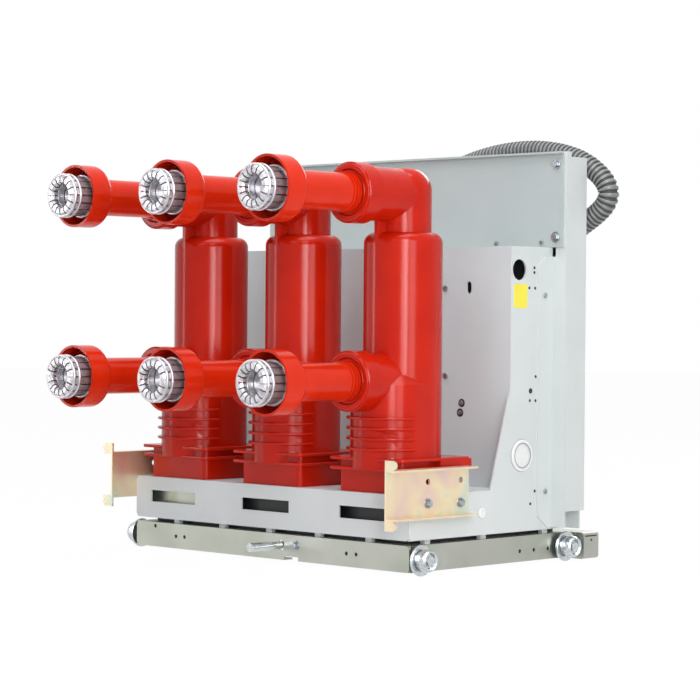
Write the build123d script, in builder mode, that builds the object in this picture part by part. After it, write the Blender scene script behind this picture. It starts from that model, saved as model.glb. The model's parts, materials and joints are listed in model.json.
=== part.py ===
from build123d import *

# Withdrawable indoor vacuum circuit breaker on its truck, in millimetres.
# X runs across the three phases, Y from the contact arms (-Y) to the operator's panel (+Y), Z is up.
# The origin is on the floor, under the middle of the breaker's length and width.

import math
import os

# Driving sizes of the whole breaker
phase_pitch = 210.0
contact_spacing = 275.0
lower_contact_z = 281.0
upper_contact_z = lower_contact_z + contact_spacing
contact_reach = 314.0
front_reach = 378.0
pole_y = contact_reach - (contact_reach + front_reach) / 2
seat_gap = 0.3

# Embedded poles
body_radius = 59.0
neck_radius = 42.0
neck_top_rounding = 34.0
elbow_crown = 1.0
shoulder_z = 501.0
shoulder_rounding = 16.0
upper_stub_radius = 40.0
lower_stub_radius = 41.0
bulge_offset = 26.0
bulge_rise = 9.0
bulge_chamfer = 14.0
neck_rib_thickness = 6.5
neck_rib_reach = 60.0
neck_rib_drop = 17.0
collar_radius = 43.0
collar_front = 121.0
collar_rear = 88.0
collar_recess_depth = 9.0
collar_wall = 9.5
collar_rounding = 2.5
shed_overhang = 6.0
shed_thickness = 4.4
shed_rounding = 1.8
shed_pitch = 15.2
shed_count = 4
top_shed_z = 226.5
shed_end_offset = 40.0
foot_plate_size = 152.0
foot_plate_thickness = 5.0
foot_plate_rounding = 1.8
foot_plate_corner = 9.0
foot_plate_z = (151.2, 165.7)
foot_solid_start = 2.0
foot_block_size = 129.0
foot_block_corner = 9.0
foot_centre_offset = 4.5

# Contact arms, insulating sleeves and tulip contacts
sleeve_radius = 28.0
sleeve_bore = 18.0
sleeve_ring_count = 3
sleeve_ring_pitch = 6.0
sleeve_ring_width = 3.0
sleeve_ring_height = 1.8
cup_radius = 47.5
cup_wall = 3.6
cup_setback = 28.0
cup_length = 40.0
cup_rounding = 9.0
arm_radius = 17.5
arm_setback = 24.0
arm_inside_pole = 60.0
finger_count = 16
finger_slot = 2.4
finger_inner = 17.5
finger_outer = 30.5
finger_thickness = 10.0
finger_nose = 8.0
finger_length = 60.0
finger_web = 6.0
finger_edge = 3.0
ring_wire = 2.2
front_ring_offsets = (5.0, 15.0)
rear_ring_offset = 43.0

# Truck
truck_half_width = 298.0
truck_rear = 78.0
truck_front = 296.0
truck_bottom_z = 5.0
truck_height = 39.0
truck_sheet = 2.5
truck_flange = 18.0
truck_corner = 7.0
side_hole_radius = 3.0
side_hole_distances = (171.0, 204.5, 238.0)
side_hole_z = 21.0
rear_hole_radius = 3.0
rear_hole_pairs = (178.0, 198.0)
rear_hole_shift = -6.0
rear_hole_z = 24.5
rear_notch_x = (41.0, 71.0)
rear_notch_height = 6.0
rear_corner_hole = (-253.0, 38.0)
axle_z = 23.0
rear_axle = 60.5
front_axle = 272.0
tread_radius = 17.0
wheel_flange_radius = axle_z
wheel_width = 22.5
wheel_flange_width = 4.5
wheel_flange_bevel = 1.0
wheel_groove = 2.5
wheel_groove_radius = 14.0
tread_crown = 1.5
wheel_rim = 2.0
wheel_rim_radius = 14.0
wheel_gap = 5.5
hub_recess = 5.0
hub_recess_radius = 12.5
hub_seat_radius = 9.5
axle_radius = 6.0
axle_clearance = 0.05
axle_head_radius = 8.0
axle_head = 3.5

# Crossbeam and racking screw
beam_rear = 299.0
beam_depth = 37.0
beam_bottom_z = 2.0
beam_height = 41.0
beam_overhang = 22.0
beam_half_width = truck_half_width + beam_overhang
beam_wall = 3.0
beam_corner = 5.0
crank_hole_radius = 14.0
handle_x = 190.0
handle_span = 110.0
handle_bar_radius = 5.0
screw_x = 34.0
screw_z = 27.5
screw_radius = 5.7
screw_tip_radius = 6.6
screw_tip = 144.0
screw_step = 105.0
screw_hole_gap = 1.0
screw_bearing_gap = 0.05
screw_collar_radius = 11.0
screw_collar_length = 6.0
nut_distance = 262.0
nut_depth = 30.0
nut_width = 44.0
nut_height = 30.0

# Base tray and housing
tray_half_width = truck_half_width
tray_rear = 79.0
tray_front = 285.0
tray_bottom_z = 51.0
tray_top_z = 116.5
tray_sheet = 3.0
tray_corner = 8.0
tray_flange = 20.0
foot_pitch = 105.0
foot_count = 5
foot_length = 12.0
foot_width = 8.0
foot_setback = 12.0
side_foot_distances = (-30.0, 95.0, 240.0)
window_width = 104.0
window_height = 18.5
window_z = 86.0
window_offset = -1.0
window_x = (window_offset - phase_pitch, window_offset, window_offset + phase_pitch)
housing_sheet = 3.0
rear_wall_distance = 145.0
housing_top_z = 484.0
gusset_low = 101.5
gusset_high_z = 266.0
lift_hole_distance = 165.0
lift_hole_z = 448.5
lift_hole_radius = 16.0
wall_slot = (214.0, 421.5)
wall_slot_size = (10.0, 18.5)
front_flange = 25.0
cap_distance = 172.5
cap_z = 166.5
cap_radius = 24.0
cap_hole_radius = 20.0
cap_height = 3.0
cap_skirt = 6.0
cap_rim = 5.0
cap_dish = 1.5

# Operator's panel
panel_overhang = 28.0
panel_half_width = tray_half_width + panel_overhang
panel_rear = 244.0
panel_front = 291.0
panel_sheet = 3.0
panel_top_z = 631.0
panel_bottom_z = 79.0
panel_lip = 22.0
panel_step = 8.0
panel_step_distance = 253.0
back_sheet_edge = 6.0
back_sheet_lip = 7.0
angle_leg = 35.0
angle_top_cut = (16.0, 14.0)
angle_bottom_cut = (24.0, 18.0)
angle_bottom_z = 54.0
angle_top_z = 470.0

# Shutter drive plates
shutter_rear = 131.0
shutter_front = 48.0
shutter_bottom_z = 83.0
shutter_top_z = 156.0
shutter_sheet = 3.0
shutter_flange = 22.0
shutter_ear = 14.0
shutter_ear_corner = 7.0
shutter_hole_radius = 4.5
shutter_hole_z = 136.0
shutter_hole_distances = (-42.0, 30.0)

# Operator's controls on the panel's front
button_radius = 13.0
button_height = 8.0
button_x = 62.0
button_z = 392.0
indicator_width = 56.0
indicator_height = 26.0
indicator_depth = 4.0
indicator_z = 462.0
charging_x = 168.0
charging_z = 330.0
charging_radius = 19.0
charging_bore = 9.0
charging_height = 10.0

# Control cable conduit
conduit_radius = 16.5
gland_radius = 22.0
gland_length = 24.0
plug_radius = 21.0
plug_length = 46.0
bracket_sheet = 4.0
bracket_reach = 58.0
bracket_height = 64.0
conduit_route = (
    (-24.0, 320.0, 594.0),
    (40.0, 319.0, 622.0),
    (130.0, 312.0, 639.0),
    (215.0, 309.5, 642.0),
    (293.0, 309.0, 627.0),
    (345.0, 309.0, 594.0),
    (356.0, 310.0, 556.0),
    (324.0, 314.0, 523.0),
    (272.0, 316.0, 507.0),
)


def along(distance):
    """Y of a point this far from the pole axis, positive towards the operator."""
    return pole_y + distance


def write(part, name):
    part.label = name
    export_step(part, f"parts/{name}.step")


def cross_plane(distance, z):
    """A plane across the breaker, facing the contacts, with local x along X and local y up."""
    return Plane((0, along(distance), z), x_dir=(1, 0, 0), z_dir=(0, -1, 0))


def side_plane(x, distance, z):
    """A plane parallel to the breaker's right side, facing outwards, with local x along Y."""
    return Plane((x, along(distance), z), x_dir=(0, 1, 0), z_dir=(1, 0, 0))


os.makedirs("parts", exist_ok=True)

# One shed of a pole, round the contact side of its bulge
with BuildPart() as shed:
    with BuildSketch(Plane.XY.offset(-shed_thickness / 2)):
        with Locations((0, pole_y - bulge_offset)):
            Circle(body_radius + shed_overhang)
        with Locations((0, along(-shed_end_offset))):
            Rectangle(4 * body_radius, 4 * body_radius, align=(Align.CENTER, Align.MIN), mode=Mode.SUBTRACT)
    extrude(amount=shed_thickness)
    fillet(shed.edges().filter_by(GeomType.CIRCLE), shed_rounding)

# One plate of a pole's foot
with BuildPart() as foot_plate:
    with BuildSketch(Plane.XY.offset(-foot_plate_thickness / 2)):
        with Locations((0, along(-foot_centre_offset))):
            RectangleRounded(foot_plate_size, foot_plate_size, foot_plate_corner)
    extrude(amount=foot_plate_thickness)
    fillet(foot_plate.faces().filter_by(Axis.Z).edges(), foot_plate_rounding)

# Cast epoxy pole: body, neck, elbow, two contact stubs with collars, bulge, sheds and foot
body_bottom_z = foot_plate_z[0]
elbow_top_z = upper_contact_z + upper_stub_radius + elbow_crown
rib_bottom_z = shoulder_z - neck_rib_drop
with BuildPart() as pole:
    with BuildSketch(Plane.XY.offset(body_bottom_z)):
        with Locations((0, pole_y - bulge_offset)):
            Circle(body_radius)
        with Locations((0, pole_y)):
            Rectangle(2 * body_radius, bulge_offset, align=(Align.CENTER, Align.MAX))
    extrude(amount=lower_contact_z + bulge_rise - body_bottom_z)
    chamfer(pole.edges().group_by(Axis.Z)[-1], bulge_chamfer)
    with BuildSketch(Plane.XY.offset(body_bottom_z)):
        with Locations((0, pole_y)):
            Circle(body_radius)
    extrude(amount=shoulder_z - body_bottom_z)
    fillet(pole.edges().group_by(Axis.Z)[-1], shoulder_rounding)
    with BuildSketch(Plane.XY.offset(shoulder_z - shoulder_rounding)):
        with Locations((0, pole_y)):
            Circle(neck_radius)
    extrude(amount=elbow_top_z - shoulder_z + shoulder_rounding)
    fillet(pole.edges().group_by(Axis.Z)[-1], neck_top_rounding)
    for z, radius in ((upper_contact_z, upper_stub_radius), (lower_contact_z, lower_stub_radius)):
        with BuildSketch(cross_plane(0, z)):
            Circle(radius)
        extrude(amount=collar_rear)
        with BuildSketch(cross_plane(-collar_rear, z)):
            Circle(collar_radius)
        extrude(amount=collar_front - collar_rear)
        with BuildSketch(cross_plane(-collar_front, z)):
            Circle(collar_radius - collar_wall)
        extrude(amount=-collar_recess_depth, mode=Mode.SUBTRACT)
        with BuildSketch(cross_plane(-collar_front, z)):
            Circle(arm_radius + seat_gap)
        extrude(amount=arm_inside_pole - collar_front, mode=Mode.SUBTRACT)
    fillet(pole.faces().group_by(Axis.Y)[0].edges(), collar_rounding)
    with BuildSketch(side_plane(-neck_rib_thickness / 2, -neck_rib_reach, rib_bottom_z)):
        Rectangle(neck_rib_reach, upper_contact_z - rib_bottom_z, align=(Align.MIN, Align.MIN))
    extrude(amount=neck_rib_thickness)
    with Locations(*[(0, 0, top_shed_z - index * shed_pitch) for index in range(shed_count)]):
        add(shed.part)
    with Locations(*[(0, 0, z) for z in foot_plate_z]):
        add(foot_plate.part)
    with BuildSketch(Plane.XY.offset(body_bottom_z)):
        with Locations((0, along(foot_solid_start))):
            Rectangle(foot_plate_size, foot_plate_size / 2 - foot_centre_offset - foot_solid_start,
                      align=(Align.CENTER, Align.MIN))
    extrude(amount=foot_plate_z[-1] - body_bottom_z)
    with BuildSketch(Plane.XY.offset(tray_top_z)):
        with Locations((0, along(-foot_centre_offset))):
            RectangleRounded(foot_block_size, foot_block_size, foot_block_corner)
    extrude(amount=foot_plate_z[-1] - tray_top_z)

# Insulating sleeve over a contact arm, flaring to a thin-walled cup
sleeve_tail = collar_front - collar_recess_depth
cup_front = contact_reach - cup_setback
cup_back = cup_front - cup_length
arc_step = cup_rounding * (1 - math.sqrt(0.5))
with BuildPart() as sleeve:
    with BuildSketch(Plane.XY):
        with BuildLine():
            Polyline(
                (cup_radius, -cup_back - cup_rounding),
                (cup_radius, -cup_front),
                (cup_radius - cup_wall, -cup_front),
                (cup_radius - cup_wall, -cup_back - cup_rounding),
                (cup_radius - cup_rounding, -cup_back - cup_wall),
                (sleeve_bore, -cup_back - cup_wall),
                (sleeve_bore, -sleeve_tail),
                (sleeve_radius, -sleeve_tail),
                (sleeve_radius, -cup_back),
                (cup_radius - cup_rounding, -cup_back),
            )
            ThreePointArc(
                (cup_radius - cup_rounding, -cup_back),
                (cup_radius - arc_step, -cup_back - arc_step),
                (cup_radius, -cup_back - cup_rounding),
            )
        make_face()
        for index in range(sleeve_ring_count):
            with Locations((sleeve_radius, -collar_front - index * sleeve_ring_pitch)):
                Rectangle(2 * sleeve_ring_height, sleeve_ring_width, align=(Align.CENTER, Align.MAX))
    revolve(axis=Axis.Y)

# Tulip contact: arm, finger cage cut by radial slots, and its garter rings
finger_root = contact_reach - finger_length
arm_end = contact_reach - arm_setback
with BuildPart() as tulip:
    with BuildSketch(Plane.XY):
        with BuildLine():
            Polyline(
                (finger_inner, -contact_reach + finger_edge),
                (finger_inner, -contact_reach + finger_nose),
                (finger_outer - finger_thickness, -contact_reach + finger_nose + finger_edge),
                (finger_outer - finger_thickness, -finger_root - finger_web),
                (arm_radius - finger_edge, -finger_root - finger_web),
                (arm_radius - finger_edge, -finger_root),
                (finger_outer, -finger_root),
                (finger_outer, -contact_reach + finger_edge),
                (finger_outer - finger_edge, -contact_reach),
                (finger_inner + finger_edge, -contact_reach),
                (finger_inner, -contact_reach + finger_edge),
            )
        make_face()
    revolve(axis=Axis.Y)
    with BuildSketch(Plane.XZ.offset(contact_reach)):
        with PolarLocations(0, finger_count // 2, angular_range=180):
            Rectangle(3 * finger_outer, finger_slot)
    extrude(amount=finger_web + finger_edge - finger_length, mode=Mode.SUBTRACT)
    for ring_offset in front_ring_offsets + (rear_ring_offset,):
        with BuildSketch(Plane.XY):
            with Locations((finger_outer + ring_wire / 2, -contact_reach + ring_offset)):
                Circle(ring_wire)
        revolve(axis=Axis.Y)
    with BuildSketch(Plane.XZ.offset(arm_inside_pole)):
        Circle(arm_radius)
    extrude(amount=arm_end - arm_inside_pole)

# Flanged wheel of the right side, turned, with a crowned tread and a dished hub round its axle's head
wheel_inner = truck_half_width + wheel_gap
wheel_outer = wheel_inner + wheel_width
tread_start = wheel_flange_width + wheel_groove
tread_end = wheel_width - wheel_rim
tread_edge = tread_radius - tread_crown
bore_radius = axle_radius + axle_clearance
with BuildPart() as wheel:
    with BuildSketch(Plane((wheel_inner, pole_y, axle_z), x_dir=(1, 0, 0), z_dir=(0, -1, 0))):
        with BuildLine():
            Polyline(
                (tread_end, tread_edge),
                (wheel_width, wheel_rim_radius),
                (wheel_width, hub_recess_radius),
                (wheel_width - hub_recess, hub_seat_radius),
                (wheel_width - hub_recess, bore_radius),
                (0, bore_radius),
                (0, wheel_flange_radius - wheel_flange_bevel),
                (wheel_flange_bevel, wheel_flange_radius),
                (wheel_flange_width - wheel_flange_bevel, wheel_flange_radius),
                (wheel_flange_width, wheel_flange_radius - wheel_flange_bevel),
                (wheel_flange_width, wheel_groove_radius),
                (tread_start, wheel_groove_radius),
                (tread_start, tread_edge),
            )
            ThreePointArc(
                (tread_start, tread_edge),
                ((tread_start + tread_end) / 2, tread_radius),
                (tread_end, tread_edge),
            )
        make_face()
    revolve(axis=Axis((wheel_inner, pole_y, axle_z), (1, 0, 0)))

# Stub axles of the four wheels, each with a shoulder inside its wheel and a head outside
head_start = wheel_outer - hub_recess + seat_gap
with BuildPart() as stub_axles:
    for distance in (-rear_axle, front_axle):
        with BuildSketch(side_plane(truck_half_width, distance, axle_z)):
            Circle(axle_radius)
        extrude(amount=head_start - truck_half_width)
        with BuildSketch(side_plane(truck_half_width, distance, axle_z)):
            Circle(axle_head_radius)
        extrude(amount=wheel_gap - seat_gap)
        with BuildSketch(side_plane(head_start, distance, axle_z)):
            RegularPolygon(axle_head_radius, 6)
        extrude(amount=axle_head)
    mirror(about=Plane.YZ)

# Channel along the truck's right side
channel_start = -truck_rear + truck_sheet
with BuildPart() as truck_side:
    with BuildSketch(cross_plane(channel_start, truck_bottom_z)):
        with Locations((truck_half_width, 0)):
            Rectangle(truck_flange, truck_height, align=(Align.MAX, Align.MIN))
        with Locations((truck_half_width - truck_sheet, truck_sheet)):
            Rectangle(truck_flange, truck_height - 2 * truck_sheet, align=(Align.MAX, Align.MIN),
                      mode=Mode.SUBTRACT)
    extrude(amount=channel_start - truck_front)
    for distance in side_hole_distances:
        with BuildSketch(side_plane(truck_half_width, distance, side_hole_z)):
            Circle(side_hole_radius)
        extrude(amount=-truck_sheet, mode=Mode.SUBTRACT)

# Rear plate of the truck, with the screw's hole and a notch in its lower edge
deck_top_z = truck_bottom_z + truck_height
with BuildPart() as truck_rear_plate:
    with BuildSketch(cross_plane(-truck_rear, truck_bottom_z + truck_height / 2)):
        RectangleRounded(2 * truck_half_width, truck_height, truck_corner)
    extrude(amount=-truck_sheet)
    for z in (truck_bottom_z, deck_top_z - truck_sheet):
        with BuildSketch(Plane.XY.offset(z)):
            with Locations((0, along(-truck_rear))):
                Rectangle(2 * (truck_half_width - truck_flange), truck_flange,
                          align=(Align.CENTER, Align.MIN))
        extrude(amount=truck_sheet)
    with BuildSketch(cross_plane(-truck_rear, 0)):
        for x in rear_hole_pairs:
            with Locations((rear_hole_shift + x, rear_hole_z), (rear_hole_shift - x, rear_hole_z)):
                Circle(rear_hole_radius)
        with Locations(rear_corner_hole):
            Circle(rear_hole_radius)
        with Locations((screw_x, screw_z)):
            Circle(screw_tip_radius + screw_hole_gap)
    extrude(amount=-truck_sheet, mode=Mode.SUBTRACT)
    with BuildSketch(cross_plane(-truck_rear, 0)):
        with Locations((sum(rear_notch_x) / 2, truck_bottom_z)):
            Rectangle(rear_notch_x[1] - rear_notch_x[0], 2 * rear_notch_height)
    extrude(amount=-truck_flange, mode=Mode.SUBTRACT)

# Deck plate that closes the truck from above
with BuildPart() as truck_deck:
    with BuildSketch(Plane.XY.offset(deck_top_z - truck_sheet)):
        with Locations((0, along(truck_flange - truck_rear))):
            Rectangle(2 * (truck_half_width - truck_flange), truck_front + truck_rear - truck_flange,
                      align=(Align.CENTER, Align.MIN))
    extrude(amount=truck_sheet)

# Nut block under the deck that the racking screw passes through
with BuildPart() as screw_nut:
    with BuildSketch(cross_plane(nut_distance, deck_top_z - truck_sheet)):
        with Locations((screw_x, 0)):
            Rectangle(nut_width, nut_height, align=(Align.CENTER, Align.MAX))
    extrude(amount=-nut_depth)
    with BuildSketch(cross_plane(nut_distance, screw_z)):
        with Locations((screw_x, 0)):
            Circle(screw_radius + screw_bearing_gap)
    extrude(amount=-nut_depth, mode=Mode.SUBTRACT)

# Crossbeam: a closed box section, with the crank hole in its front and the screw's bearing in its rear
beam_front = beam_rear + beam_depth
with BuildPart() as crossbeam:
    with BuildSketch(Plane.XY.offset(beam_bottom_z)):
        with Locations((0, along(beam_rear))):
            Rectangle(2 * beam_half_width, beam_depth, align=(Align.CENTER, Align.MIN))
    extrude(amount=beam_height)
    fillet(crossbeam.faces().filter_by(Axis.X).edges().filter_by(Axis.Y), beam_corner)
    with BuildSketch(Plane.XY.offset(beam_bottom_z + beam_wall)):
        with Locations((0, along(beam_rear + beam_wall))):
            Rectangle(2 * (beam_half_width - beam_wall), beam_depth - 2 * beam_wall,
                      align=(Align.CENTER, Align.MIN))
    extrude(amount=beam_height - 2 * beam_wall, mode=Mode.SUBTRACT)
    with BuildSketch(cross_plane(beam_front, screw_z)):
        with Locations((screw_x, 0)):
            Circle(crank_hole_radius)
    extrude(amount=beam_wall, mode=Mode.SUBTRACT)
    with BuildSketch(cross_plane(beam_rear, screw_z)):
        with Locations((screw_x, 0)):
            Circle(screw_radius + screw_bearing_gap)
    extrude(amount=-beam_wall, mode=Mode.SUBTRACT)

# Racking screw, turning in the crossbeam and passing right through the truck
collar_start = beam_rear + beam_wall + seat_gap
with BuildPart() as lead_screw:
    with BuildSketch(cross_plane(-screw_step, screw_z)):
        with Locations((screw_x, 0)):
            Circle(screw_tip_radius)
    extrude(amount=screw_tip - screw_step)
    with BuildSketch(cross_plane(-screw_step, screw_z)):
        with Locations((screw_x, 0)):
            Circle(screw_radius)
    extrude(amount=beam_wall + seat_gap - screw_step - beam_front)
    with BuildSketch(cross_plane(collar_start, screw_z)):
        with Locations((screw_x, 0)):
            Circle(screw_collar_radius)
    extrude(amount=-screw_collar_length)

# Pull handles on the crossbeam's front
with BuildPart() as beam_handles:
    grip_y = along(front_reach - handle_bar_radius)
    for x in (-handle_x, handle_x):
        with BuildLine():
            FilletPolyline(
                (x - handle_span / 2, along(beam_front), screw_z),
                (x - handle_span / 2, grip_y, screw_z),
                (x + handle_span / 2, grip_y, screw_z),
                (x + handle_span / 2, along(beam_front), screw_z),
                radius=2 * handle_bar_radius,
            )
        with BuildSketch(Plane((x - handle_span / 2, along(beam_front), screw_z), z_dir=(0, 1, 0))):
            Circle(handle_bar_radius)
        sweep()

# Base tray that carries the poles: rear face with windows, the top, and feet under an inward flange
tray_inside = tray_half_width - housing_sheet
foot_height = tray_bottom_z - deck_top_z
foot_x = [(index - (foot_count - 1) / 2) * foot_pitch for index in range(foot_count)]
with BuildPart() as base_tray:
    with BuildSketch(cross_plane(-tray_rear, (tray_bottom_z + tray_top_z) / 2)):
        RectangleRounded(2 * tray_half_width, tray_top_z - tray_bottom_z, tray_corner)
    extrude(amount=-tray_sheet)
    with BuildSketch(Plane.XY.offset(tray_bottom_z)):
        with Locations((0, along(tray_sheet - tray_rear))):
            Rectangle(2 * (tray_inside - tray_flange), tray_flange, align=(Align.CENTER, Align.MIN))
    extrude(amount=tray_sheet)
    with BuildSketch(Plane.XY.offset(tray_bottom_z)):
        with Locations(*[(x, along(foot_setback - tray_rear)) for x in foot_x]):
            Rectangle(foot_length, foot_width)
    extrude(amount=-foot_height)
    with BuildSketch(Plane.XY.offset(tray_top_z - tray_sheet)):
        with Locations((0, along(-tray_rear))):
            Rectangle(2 * tray_inside, tray_rear + rear_wall_distance + housing_sheet,
                      align=(Align.CENTER, Align.MIN))
    extrude(amount=tray_sheet)
    with BuildSketch(cross_plane(-tray_rear, window_z)):
        with Locations(*[(x, 0) for x in window_x]):
            Rectangle(window_width, window_height)
    extrude(amount=-tray_sheet, mode=Mode.SUBTRACT)

# Right side plate of tray and housing, with its gusset, front flange and feet under an inward flange
plate_front = panel_rear - seat_gap
with BuildPart() as side_plate:
    with BuildSketch(side_plane(tray_inside, 0, 0)):
        with BuildLine():
            Polyline(
                (tray_sheet - tray_rear, tray_bottom_z),
                (tray_front, tray_bottom_z),
                (tray_front, panel_bottom_z - seat_gap),
                (plate_front, panel_bottom_z - seat_gap),
                (plate_front, housing_top_z),
                (rear_wall_distance, housing_top_z),
                (rear_wall_distance, gusset_high_z),
                (gusset_low, tray_top_z),
                (tray_sheet - tray_rear, tray_top_z),
                (tray_sheet - tray_rear, tray_bottom_z),
            )
        make_face()
    extrude(amount=housing_sheet)
    with BuildSketch(Plane.XY.offset(tray_bottom_z)):
        with Locations((tray_inside, along(tray_sheet - tray_rear))):
            Rectangle(tray_flange, tray_front + tray_rear - tray_sheet, align=(Align.MAX, Align.MIN))
    extrude(amount=tray_sheet)
    with BuildSketch(Plane.XY.offset(tray_bottom_z)):
        for distance in side_foot_distances:
            with Locations((tray_half_width - foot_setback, along(distance))):
                Rectangle(foot_width, foot_length)
    extrude(amount=-foot_height)
    with BuildSketch(side_plane(tray_half_width, 0, 0)):
        with Locations((tray_front, tray_bottom_z)):
            Rectangle(housing_sheet, panel_bottom_z - seat_gap - tray_bottom_z, align=(Align.MAX, Align.MIN))
    extrude(amount=front_flange)
    with BuildSketch(side_plane(tray_inside, 0, 0)):
        with Locations((lift_hole_distance, lift_hole_z)):
            Circle(lift_hole_radius)
        with Locations((cap_distance, cap_z)):
            Circle(cap_hole_radius)
    extrude(amount=housing_sheet, mode=Mode.SUBTRACT)

# Rear wall of the housing, between the side plates
with BuildPart() as rear_wall:
    with BuildSketch(cross_plane(rear_wall_distance, tray_top_z)):
        Rectangle(2 * tray_inside, housing_top_z - tray_top_z, align=(Align.CENTER, Align.MIN))
    extrude(amount=-housing_sheet)
    with BuildSketch(cross_plane(rear_wall_distance, 0)):
        with Locations(wall_slot):
            SlotOverall(wall_slot_size[1], wall_slot_size[0], rotation=90)
    extrude(amount=-housing_sheet, mode=Mode.SUBTRACT)

# Top of the housing
wall_inner = rear_wall_distance + housing_sheet
with BuildPart() as housing_top:
    with BuildSketch(Plane.XY.offset(housing_top_z - housing_sheet)):
        with Locations((0, along(wall_inner))):
            Rectangle(2 * tray_inside, panel_rear - wall_inner, align=(Align.CENTER, Align.MIN))
    extrude(amount=housing_sheet)

# Front panel: a folded box open to the rear, stepped along its top and with a lip round its rear edge
panel_low_top = panel_top_z - panel_step
with BuildPart() as front_panel:
    with BuildSketch(side_plane(-panel_half_width, 0, 0)):
        with BuildLine():
            Polyline(
                (panel_rear, panel_bottom_z),
                (panel_front, panel_bottom_z),
                (panel_front, panel_low_top),
                (panel_step_distance, panel_low_top),
                (panel_step_distance, panel_top_z),
                (panel_rear, panel_top_z),
                (panel_rear, panel_bottom_z),
            )
        make_face()
    extrude(amount=2 * panel_half_width)
    with BuildSketch(side_plane(panel_sheet - panel_half_width, 0, 0)):
        with BuildLine():
            Polyline(
                (panel_rear + panel_sheet, panel_bottom_z + panel_sheet),
                (panel_front - panel_sheet, panel_bottom_z + panel_sheet),
                (panel_front - panel_sheet, panel_low_top - panel_sheet),
                (panel_step_distance - panel_sheet, panel_low_top - panel_sheet),
                (panel_step_distance - panel_sheet, panel_top_z - panel_sheet),
                (panel_rear + panel_sheet, panel_top_z - panel_sheet),
                (panel_rear + panel_sheet, panel_bottom_z + panel_sheet),
            )
        make_face()
    extrude(amount=2 * (panel_half_width - panel_sheet), mode=Mode.SUBTRACT)
    with BuildSketch(cross_plane(panel_rear, (panel_top_z + panel_bottom_z) / 2)):
        Rectangle(2 * (panel_half_width - panel_lip), panel_top_z - panel_bottom_z - 2 * panel_lip)
    extrude(amount=-panel_sheet, mode=Mode.SUBTRACT)

# Sheet that closes the upper back of the panel, with a lip along its top
with BuildPart() as upper_back_sheet:
    with BuildSketch(cross_plane(panel_rear, housing_top_z + seat_gap)):
        Rectangle(2 * (panel_half_width - back_sheet_edge), panel_top_z - housing_top_z - seat_gap,
                  align=(Align.CENTER, Align.MIN))
    extrude(amount=panel_sheet)
    with BuildSketch(cross_plane(panel_rear, panel_top_z)):
        Rectangle(2 * (panel_half_width - back_sheet_edge), panel_sheet, align=(Align.CENTER, Align.MAX))
    extrude(amount=panel_sheet + back_sheet_lip)

# Angle that ties the right side plate to the panel
with BuildPart() as panel_angle:
    with BuildSketch(side_plane(tray_half_width, panel_rear, 0)):
        with BuildLine():
            Polyline(
                (0, angle_bottom_z),
                (0, angle_top_z),
                (angle_top_cut[0] - angle_leg, angle_top_z),
                (-angle_leg, angle_top_z - angle_top_cut[1]),
                (-angle_leg, angle_bottom_z + angle_bottom_cut[1]),
                (angle_bottom_cut[0] - angle_leg, angle_bottom_z),
                (0, angle_bottom_z),
            )
        make_face()
    extrude(amount=housing_sheet)
    with BuildSketch(side_plane(tray_half_width, panel_rear, angle_bottom_z)):
        Rectangle(housing_sheet, angle_top_z - angle_bottom_z, align=(Align.MAX, Align.MIN))
    extrude(amount=panel_half_width - tray_half_width)

# Plastic cap in the hole of the right side plate, dished inside a raised rim
with BuildPart() as side_cap:
    with BuildSketch(side_plane(tray_half_width, cap_distance, cap_z)):
        Circle(cap_radius)
    extrude(amount=cap_height)
    fillet(side_cap.faces().sort_by(Axis.X)[-1].edges(), cap_height / 2)
    with BuildSketch(side_plane(tray_half_width + cap_height, cap_distance, cap_z)):
        Circle(cap_radius - cap_rim)
    extrude(amount=-cap_dish, mode=Mode.SUBTRACT)
    with BuildSketch(side_plane(tray_half_width, cap_distance, cap_z)):
        Circle(cap_hole_radius - seat_gap)
    extrude(amount=-cap_skirt)

# Right shutter drive plate: web with outward flanges, and an ear turned up and down at its contact end
with BuildPart() as shutter_plate:
    with BuildSketch(side_plane(tray_half_width, 0, 0)):
        with Locations((-shutter_rear, shutter_bottom_z)):
            Rectangle(shutter_rear + shutter_front, shutter_top_z - shutter_bottom_z,
                      align=(Align.MIN, Align.MIN))
        for distance in shutter_hole_distances:
            with Locations((distance, shutter_hole_z)):
                Circle(shutter_hole_radius, mode=Mode.SUBTRACT)
    extrude(amount=shutter_sheet)
    with BuildSketch(side_plane(tray_half_width, 0, 0)):
        for z in (shutter_bottom_z, shutter_top_z - shutter_sheet):
            with Locations((-shutter_rear, z)):
                Rectangle(shutter_rear + shutter_front, shutter_sheet, align=(Align.MIN, Align.MIN))
    extrude(amount=shutter_flange)
    for z, side in ((shutter_top_z, Align.MIN), (shutter_bottom_z, Align.MAX)):
        with BuildSketch(cross_plane(-shutter_rear, z)) as ear:
            with Locations((tray_half_width, 0)):
                Rectangle(shutter_flange, shutter_ear, align=(Align.MIN, side))
            fillet(ear.vertices().group_by(Axis.X)[-1], shutter_ear_corner)
        extrude(amount=-shutter_sheet)

# Operator's controls on the panel's front
with BuildPart() as push_buttons:
    with BuildSketch(cross_plane(panel_front, button_z)):
        with Locations((-button_x, 0), (button_x, 0)):
            Circle(button_radius)
    extrude(amount=-button_height)

with BuildPart() as indicator_windows:
    with BuildSketch(cross_plane(panel_front, indicator_z)):
        with Locations((-button_x, 0), (button_x, 0)):
            RectangleRounded(indicator_width, indicator_height, indicator_depth)
    extrude(amount=-indicator_depth)

with BuildPart() as charging_socket:
    with BuildSketch(cross_plane(panel_front, charging_z)):
        with Locations((charging_x, 0)):
            Circle(charging_radius)
            Circle(charging_bore, mode=Mode.SUBTRACT)
    extrude(amount=-charging_height)

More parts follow.
